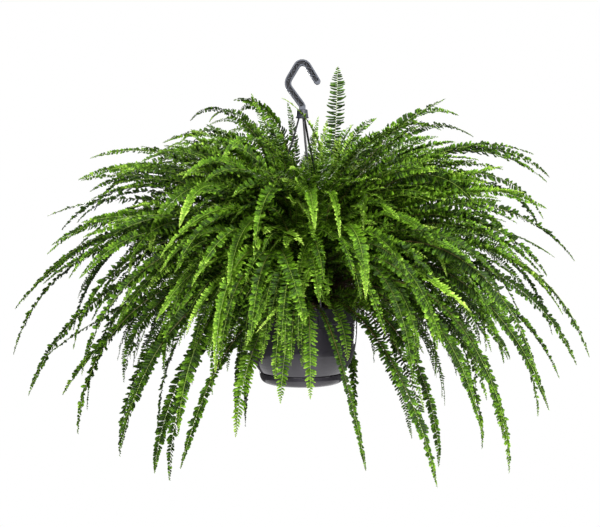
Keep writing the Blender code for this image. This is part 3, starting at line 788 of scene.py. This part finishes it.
def blocks_view(frond):
    """True if a frond crosses the straps just under the collar, or hangs before the pot."""
    x, y, z = rib(frond)[1].T
    clear_below = np.where(x < POT_MIDDLE, POT_VIEW_LEFT, POT_VIEW_RIGHT)
    by_pot = (x > POT_LEFT) & (x < POT_RIGHT) & (y < POT_FRONT) & (z < clear_below)
    past_crown = slice(4, None)
    return bool(by_hanger(frond) or by_pot[past_crown].any())


def spiral(number, start=0.0, stray=0.0):
    """Azimuth of a numbered frond in an even spiral."""
    return (number * GOLDEN_ANGLE + start + stray) % 360.0 - 180.0


def scattered(number):
    """A share between 0 and 1 that never bunches up."""
    return (number * GOLDEN_SHARE) % 1.0


def spiral_fronds(pick):
    """Fronds like those of the tiers, all round the crown."""
    for number in range(FILLERS):
        azimuth = spiral(number, stray=pick(-9, 9))
        frond = grown(((number * AGE_SHARE) % 1.0) ** 1.10, azimuth, pick)
        if in_front(azimuth, 40.0):
            frond = frond._replace(rise=max(frond.rise, 58.0), ease=max(frond.ease, 1.0))
        yield frond


def inner_fronds(pick):
    """Short fronds that close the middle, every second one low over the rim."""
    for number in range(INNER_FRONDS):
        azimuth = spiral(number, 70.0)
        low = number % 2
        length = pick(0.24, 0.42) * (1.0 - 0.45 * low)
        rise = pick(25, 80) * (1.0 - 0.50 * low)
        frond = Frond(azimuth, 0.030 + 0.020 * low, length, rise, pick(-50, 20), 1.0, pick(-12, 12),
                      pick(-40, 40), pick(0.8, 1.0), pick(0.0, 0.3))
        if not in_front(azimuth, 35.0):
            yield frond


def front_fronds(pick):
    """A loose tangle of fronds in front."""
    for number in range(FRONT_FRONDS):
        azimuth = -170.0 + 160.0 * scattered(number) + pick(-3, 3)
        side = abs(math.cos(math.radians(azimuth)))
        length = pick(0.26, 0.42) + 0.18 * side * pick(0.2, 1.0)
        yield Frond(azimuth, pick(0.012, 0.050), length, pick(50, 86), pick(-90, 5), pick(0.8, 1.6),
                    pick(-60, 60), pick(-80, 80), pick(0.50, 0.85), pick(0.0, 0.8),
                    plain=number % 2 == 0)


def crest_fronds(pick):
    """Tall fronds round the straps."""
    for number in range(CREST_FRONDS):
        azimuth = spiral(number, 40.0, pick(-9, 9))
        length = pick(0.42, 0.60) * shortened(azimuth, 0.12)
        yield Frond(azimuth, pick(0.008, 0.020), length, pick(80, 88), pick(-35, 25), pick(1.0, 1.4),
                    pick(-12, 12), pick(-50, 50), pick(0.62, 0.90), pick(0.1, 0.6))


def loop_fronds(pick):
    """Tall fronds at the back that bend right over."""
    for number in range(LOOP_FRONDS):
        azimuth = 100.0 + 75.0 * scattered(number)
        yield Frond(azimuth, pick(0.008, 0.020), pick(0.50, 0.64), 88, pick(-80, -20), pick(2.0, 3.0),
                    pick(-5, 14), pick(-100, 0), pick(0.50, 0.80), pick(0.3, 1.0))


def screen_fronds(pick):
    """Short upright fronds before the straps' lower ends."""
    for number in range(SCREEN_FRONDS):
        azimuth = -150.0 + 120.0 * scattered(number)
        yield Frond(azimuth, pick(0.010, 0.030), pick(0.32, 0.40), pick(84, 89), pick(-40, 40),
                    pick(1.0, 1.8), pick(-40, 40), pick(-60, 60), pick(0.50, 0.75), pick(0.2, 0.8))


def filler_fronds():
    """All fronds that fill the gaps between the main ones; each group picks its random values."""
    pick = np.random.default_rng(FILLER_SEED).uniform
    groups = (spiral_fronds, inner_fronds, front_fronds, crest_fronds, loop_fronds, screen_fronds)
    fronds = [trimmed(frond) for group in groups for frond in group(pick)]
    return [frond for frond in fronds if frond.length > STUB or not in_front(frond.azimuth, 60.0)]


CREST_LINE = (  # x and the height that the filling fronds stay under, from left to right
    (-0.560, -0.420), (-0.500, -0.300), (-0.440, -0.215), (-0.346, -0.164), (-0.226, -0.140),
    (-0.176, -0.110), (-0.100, -0.076), (-0.060, -0.110), (-0.022, -0.160), (0.012, -0.145),
    (0.044, -0.098), (0.114, -0.126), (0.154, -0.130), (0.194, -0.104), (0.240, -0.090),
    (0.274, -0.130), (0.314, -0.160), (0.354, -0.210), (0.394, -0.275), (0.434, -0.330),
    (0.474, -0.430), (0.540, -0.480),
)
FRINGE_LINE = (  # x and the height that they stay above
    (-0.560, -0.480), (-0.446, -0.500), (-0.406, -0.570), (-0.340, -0.620), (-0.246, -0.600),
    (-0.220, -0.530), (-0.180, -0.530), (-0.160, -0.600), (-0.120, -0.650), (0.114, -0.600),
    (0.200, -0.650), (0.354, -0.660), (0.394, -0.560), (0.480, -0.540), (0.540, -0.500),
)


def too_far(frond, outline=False):
    """True if a frond reaches past the main ones, or past the outline that the fillers keep to."""
    x, y, z = rib(frond)[1].T
    past = (x < LIMITS[0][0]) | (x > LIMITS[0][1]) | (y < LIMITS[1][0]) | (y > LIMITS[1][1])
    past |= z < LOWEST
    if outline:
        past |= z > np.interp(x, *zip(*CREST_LINE))
        past |= z < np.interp(x, *zip(*FRINGE_LINE))
    return bool(past.any())


def trimmed(frond):
    """The same frond, short enough to keep to the outline and leave straps and pot in view."""
    while (blocks_view(frond) or too_far(frond, True)) and frond.length > SHORTEST:
        frond = frond._replace(length=frond.length * 0.93)
    return frond


def accent_fronds():
    """The single fronds that stand out, with small natural differences."""
    draw = np.random.default_rng(ACCENT_SEED)
    fronds = []
    for frond in ACCENT_FRONDS:
        youth = frond.youth or draw.uniform(0.0, 0.35)
        width = frond.width * draw.uniform(0.50, 0.70)
        twist = frond.twist or draw.uniform(-25.0, 25.0)
        while too_far(frond):
            frond = frond._replace(length=frond.length * 0.97)
        fronds.append(frond._replace(youth=youth, width=width, twist=twist, plain=True))
    return fronds


def build_foliage(looks):
    """One detailed piece for each frond of the frame, then the clusters of all other fronds."""
    main = [*UPRIGHT_FRONDS, *tier_fronds(), *LOW_FRONT_FRONDS, *HIGH_FRONT_FRONDS]
    for number, frond in enumerate(main, 1):
        draw = np.random.default_rng(MAIN_FROND_SEED + number)
        if frond.youth == 0.0:
            frond = frond._replace(youth=draw.uniform(0.0, 0.45))
        if frond.width == 1.0:
            frond = frond._replace(width=0.50 if by_hanger(frond) else draw.uniform(0.58, 0.88))
        piece = plant_fronds(f"fern_frond_{number:02d}", [frond], draw, looks, [FINE])
        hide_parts(f"frond_{number:02d}")
    fillers = [*accent_fronds(), *filler_fronds()]
    sector = 360.0 / CLUSTERS
    for cluster in range(CLUSTERS):
        own = [f for f in fillers if int(((f.azimuth + 180.0) % 360.0) // sector) == cluster]
        draw = np.random.default_rng(CLUSTER_SEED + cluster)
        details = [PLAIN if f.plain else ROUGH for f in own]
        plant_fronds(f"fern_cluster_{cluster + 1:02d}", own, draw, looks, details)


# Pot, saucer, soil and crown

TURNED_SEGMENTS = 160
SMOOTH_ANGLE = 30.0


def ring_of(shape, radius, height, segments):
    """New points evenly round the Z axis."""
    turns = [2.0 * math.pi * step / segments for step in range(segments)]
    return [shape.verts.new((radius * math.cos(a), radius * math.sin(a), height)) for a in turns]


def turned(name, profile, look):
    """A finely turned piece about Z from (radius, height) points that start and end on the axis."""
    shape = bmesh.new()
    rings = []
    for radius, height in profile:
        rings.append(ring_of(shape, radius, height, TURNED_SEGMENTS if radius else 1))
    for lower, upper in zip(rings, rings[1:]):
        for step in range(TURNED_SEGMENTS):
            after = (step + 1) % TURNED_SEGMENTS
            if len(lower) == 1:
                shape.faces.new((lower[0], upper[step], upper[after]))
            elif len(upper) == 1:
                shape.faces.new((lower[step], lower[after], upper[0]))
            else:
                shape.faces.new((lower[step], lower[after], upper[after], upper[step]))
    bmesh.ops.recalc_face_normals(shape, faces=shape.faces)
    mesh = mesh_from(shape, name)
    mesh.materials.append(look)
    mesh.shade_smooth()
    mesh.set_sharp_from_angle(angle=math.radians(SMOOTH_ANGLE))
    return placed(name, mesh)


RIM_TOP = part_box("pot")[1].z
RIM_RADIUS = 0.1155
RIM_BAND_BOTTOM = -0.5060
RIM_THICKNESS = 0.0040
BODY_TOP_RADIUS = 0.1113
BODY_BOTTOM = -0.6120
BODY_TAPER = 0.0020
BODY_ROUNDING = 0.0243
POT_WALL = 0.0022
POT_FLOOR = -0.6280
FOOT_RING_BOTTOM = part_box("pot")[0].z
FOOT_RING_OUTER = 0.0660
FOOT_RING_INNER = 0.0610
DRAIN_HOLES = 6
DRAIN_CIRCLE = 0.040
DRAIN_RADIUS = 0.005
SAUCER_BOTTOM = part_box("drip_saucer")[0].z
SAUCER_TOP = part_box("drip_saucer")[1].z


def body_radius(height):
    """Outer radius of the pot's body between the rim band and its lower corner."""
    share = (RIM_BAND_BOTTOM - height) / (RIM_BAND_BOTTOM - BODY_BOTTOM)
    return BODY_TOP_RADIUS - BODY_TAPER * share - BODY_ROUNDING * share**3.6


def fillet(points, radius, steps=4):
    """The same profile with its corners rounded; points on the axis stay."""
    rounded = [points[0]]
    for before, corner, after in zip(points, points[1:], points[2:]):
        back = Vector(before) - Vector(corner)
        on = Vector(after) - Vector(corner)
        reach = min(radius, back.length * 0.45, on.length * 0.45)
        start = Vector(corner) + back.normalized() * reach
        end = Vector(corner) + on.normalized() * reach
        for step in range(steps + 1):
            t = step / steps
            at = start * (1 - t) ** 2 + Vector(corner) * 2 * t * (1 - t) + end * t**2
            rounded.append((at.x, at.y))
    rounded.append(points[-1])
    return rounded


def build_pot(look):
    """The pot's wall, rim band, floor with drain holes and foot ring."""
    span = RIM_BAND_BOTTOM - BODY_BOTTOM
    heights = [RIM_BAND_BOTTOM - span * (step / 12) ** 0.75 for step in range(13)]
    inner_rim = RIM_RADIUS - RIM_THICKNESS
    floor = POT_FLOOR + POT_WALL
    inside = [(0.0, floor), (0.0678, floor)]
    inside += [(body_radius(h) - POT_WALL, h) for h in reversed(heights)]
    inside.append((inner_rim, RIM_BAND_BOTTOM + 0.003))
    rim = [
        (inner_rim, RIM_TOP),
        (RIM_RADIUS, RIM_TOP),
        (RIM_RADIUS - 0.0006, RIM_BAND_BOTTOM),
        (body_radius(RIM_BAND_BOTTOM) + 0.0003, RIM_BAND_BOTTOM),
    ]
    outside = [(body_radius(h), h - 0.0004) for h in heights]
    base = [
        (0.0760, BODY_BOTTOM - 0.0070),
        (0.0680, POT_FLOOR + 0.0020),
        (FOOT_RING_OUTER, POT_FLOOR),
        (FOOT_RING_OUTER, FOOT_RING_BOTTOM),
        (FOOT_RING_INNER, FOOT_RING_BOTTOM),
        (FOOT_RING_INNER, POT_FLOOR),
        (0.0, POT_FLOOR),
    ]
    pot = turned("pot_shell", fillet(inside + rim + outside + base, 0.0012), look)
    for hole in range(DRAIN_HOLES):
        turn = 2.0 * math.pi * hole / DRAIN_HOLES
        centre = DRAIN_CIRCLE * math.cos(turn), DRAIN_CIRCLE * math.sin(turn)
        cut_round_hole(pot, centre, DRAIN_RADIUS)
    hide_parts("pot")


def cut_round_hole(item, centre, radius):
    """A hole through the floor of a turned piece."""
    shape = bmesh.new()
    bmesh.ops.create_cone(shape, cap_ends=True, segments=24, radius1=radius, radius2=radius,
                          depth=0.012)
    bmesh.ops.translate(shape, verts=shape.verts, vec=(*centre, POT_FLOOR + POT_WALL / 2.0))
    cutter = new_object("hole", mesh_from(shape, "hole"))
    step = item.modifiers.new("hole", "BOOLEAN")
    step.operation = "DIFFERENCE"
    step.solver = "EXACT"
    step.object = cutter
    bpy.context.view_layer.update()
    done = bpy.data.meshes.new_from_object(item.evaluated_get(bpy.context.evaluated_depsgraph_get()))
    item.modifiers.remove(step)
    item.data = done
    bpy.data.objects.remove(cutter)


def build_saucer(look):
    """The drip dish with the ring that snaps round the pot's foot."""
    floor = SAUCER_BOTTOM + 0.0018
    snap = 0.0663
    profile = [
        (0.0, floor),
        (snap, floor),
        (snap, floor + 0.0030),
        (snap + 0.0020, floor + 0.0020),
        (snap + 0.0020, floor),
        (0.0740, floor),
        (0.0818, SAUCER_BOTTOM + 0.0085),
        (0.0848, SAUCER_TOP),
        (0.0866, SAUCER_TOP),
        (0.0858, SAUCER_TOP - 0.0090),
        (0.0826, SAUCER_BOTTOM + 0.0050),
        (0.0781, SAUCER_BOTTOM + 0.0014),
        (0.0740, SAUCER_BOTTOM),
        (0.0, SAUCER_BOTTOM),
    ]
    saucer = turned("drip_tray", fillet(profile, 0.0030), look)
    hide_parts("drip_saucer")


LUMPS = 260
LUMPY_RINGS = 40
LUMPY_SEGMENTS = 96
LUMPY_DEPTH = 0.004


def lumpy(name, look, edge_height, radius, rise, lump, seed):
    """A dome with an uneven top and a closed flat underside."""
    pick = np.random.default_rng(seed).uniform
    bumps = [(pick(-radius, radius), pick(-radius, radius), pick(0.004, 0.014), pick(0.3, 1.0))
             for _ in range(LUMPS)]
    shape = bmesh.new()
    layers = [ring_of(shape, 0.0, 0.0, 1)]
    for ring in range(1, LUMPY_RINGS + 1):
        layers.append(ring_of(shape, radius * ring / LUMPY_RINGS, 0.0, LUMPY_SEGMENTS))
    flat = np.array([v.co for v in shape.verts])
    height = np.zeros(len(flat))
    for x, y, size, tall in bumps:
        near = np.exp(-((flat[:, 0] - x) ** 2 + (flat[:, 1] - y) ** 2) / size**2)
        height = np.maximum(height, near * tall)
    fade = np.clip((1.0 - np.hypot(flat[:, 0], flat[:, 1]) / radius) / 0.10, 0.0, 1.0) ** 0.5
    for vert, level, edge in zip(shape.verts, height, fade):
        vert.co.z = edge_height + (rise + (level - 0.5) * lump) * edge
    rim = layers[-1]
    for lower, upper in zip(layers, layers[1:]):
        for step in range(LUMPY_SEGMENTS):
            after = (step + 1) % LUMPY_SEGMENTS
            if len(lower) == 1:
                shape.faces.new((lower[0], upper[step], upper[after]))
            else:
                shape.faces.new((lower[step], upper[step], upper[after], lower[after]))
    bottom = [shape.verts.new((v.co.x, v.co.y, edge_height - LUMPY_DEPTH)) for v in rim]
    for step in range(LUMPY_SEGMENTS):
        after = (step + 1) % LUMPY_SEGMENTS
        shape.faces.new((rim[step], bottom[step], bottom[after], rim[after]))
    shape.faces.new(list(reversed(bottom)))
    mesh = mesh_from(shape, name)
    mesh.materials.append(look)
    mesh.shade_smooth()
    return placed(name, mesh)


def dress_nodes(looks):
    """New materials on the frame's own meshes that stay in view."""
    for name, look in looks.items():
        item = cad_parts[name]
        item.data.materials.clear()
        item.data.materials.append(look)


# Stage, lights and camera

CAMERA_TARGET = (-0.0045, 0.0, -0.394)
CAMERA_DISTANCE = 2.35
CAMERA_PITCH = 4.0
CAMERA_LENS = 70.0
FLOOR_RADIUS = 1.75
FLOOR_HEIGHT = -1.5


def area_light(name, place, target, size, power, height=None):
    """A soft light aimed at the target."""
    lamp = bpy.data.lights.new(name, "AREA")
    lamp.shape = "RECTANGLE"
    lamp.size = size
    lamp.size_y = height or size
    lamp.energy = power
    made = new_object(name, lamp)
    made.location = place
    made.rotation_euler = (Vector(target) - Vector(place)).to_track_quat("-Z", "Y").to_euler()


def build_world():
    """White where the camera looks, dim as a light and dimmer still in reflections."""
    world = bpy.data.worlds.new("studio")
    bpy.context.scene.world = world
    look = Look(world)
    ray = look.add("ShaderNodeLightPath").outputs
    seen = look.maths("MAXIMUM", ray["Is Camera Ray"], look.times(ray["Is Glossy Ray"], 0.03))
    look.fill(look.nodes["Background"], Color=(1.0, 1.0, 1.0, 1.0),
              Strength=look.spread_to(seen, 0.07, 1.0))


def floor_material():
    """Pale under the plant, and glowing white further out so that its edge can't be seen."""
    look = new_look("studio_floor")
    look.surface(Base_Color=(0.86, 0.86, 0.86, 1.0), Roughness=0.9)
    far = look.add("ShaderNodeVectorMath", look.place(), operation="LENGTH").outputs["Value"]
    pale = look.nodes["Principled BSDF"].outputs[0]
    glow = look.add("ShaderNodeEmission").outputs[0]
    blend = look.add("ShaderNodeMixShader", look.spread_to(far, 0.35, 1.0, 0.6, 1.7), pale, glow)
    out = next(n for n in look.nodes if n.type == "OUTPUT_MATERIAL")
    look.fill(out, Surface=blend.outputs[0])
    return look.owner


def build_floor():
    shape = bmesh.new()
    bmesh.ops.create_circle(shape, cap_ends=True, segments=96, radius=FLOOR_RADIUS)
    floor = new_object("floor", mesh_from(shape, "floor"))
    floor.location = (0.0, 0.0, FLOOR_HEIGHT)
    floor.data.materials.append(floor_material())
    floor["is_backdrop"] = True


def build_lights():
    area_light("key", (1.1, -2.2, 0.8), (0.0, 0.0, -0.38), 0.4, 146.0)
    area_light("front", (-0.6, -2.7, -0.1), (0.0, 0.0, -0.45), 0.8, 36.0)
    area_light("side", (1.9, -0.7, 0.1), (0.0, 0.0, -0.45), 0.5, 20.0, 1.4)
    area_light("top", (-0.3, -0.2, 1.6), (0.0, 0.0, -0.3), 0.8, 15.0)
    area_light("edge", (1.25, 1.60, -0.35), (0.0, 0.0, -0.50), 0.5, 14.0, 1.2)
    area_light("back", (-0.6, 2.5, 0.4), (0.0, 0.0, -0.40), 0.9, 120.0)


def build_camera():
    """A long lens, a little above the plant's middle."""
    lens = bpy.data.cameras.new("camera")
    lens.lens = CAMERA_LENS
    lens.sensor_width = 36.0
    made = new_object("camera", lens)
    pitch = math.radians(CAMERA_PITCH)
    back = Vector((0.0, -math.cos(pitch), math.sin(pitch)))
    made.location = Vector(CAMERA_TARGET) + back * CAMERA_DISTANCE
    made.rotation_euler = (-back).to_track_quat("-Z", "Y").to_euler()
    bpy.context.scene.camera = made


def build():
    """All pieces, then the stage around them."""
    hook = hook_material()
    strap = plastic("strap_plastic", (0.008, 0.008, 0.010), (0.014, 0.014, 0.017), 0.42, gloss=0.2)
    pot = plastic("pot_plastic", (0.026, 0.023, 0.030), (0.036, 0.033, 0.041), 0.12,
                  grain=1200.0, strength=0.04)
    tray = plastic("saucer_plastic", (0.024, 0.022, 0.028), (0.034, 0.031, 0.038), 0.15,
                   wear=0.05, grain=1200.0, strength=0.05)
    build_foliage([leaf_material(), stalk_material()])
    build_pot(pot)
    build_saucer(tray)
    soil = lumpy("peat_soil", earth_material(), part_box("soil")[1].z - 0.003,
                 radius=0.1080, rise=0.002, lump=0.004, seed=5)
    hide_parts("soil")
    crown = lumpy("rhizome_crown", rhizome_material(), CROWN_TOP - 0.012,
                  radius=0.0775, rise=0.012, lump=0.010, seed=9)
    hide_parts("crown")
    straps = {f"hanger_strap_{number}": strap for number in (1, 2, 3)}
    dress_nodes({"hanger_hook": hook, **straps})
    build_world()
    build_floor()
    build_lights()
    build_camera()
    bpy.context.scene.view_settings.view_transform = "Standard"


build()
dressed_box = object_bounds()
[[list(corner) for corner in box] for box in (cad_box, dressed_box)]
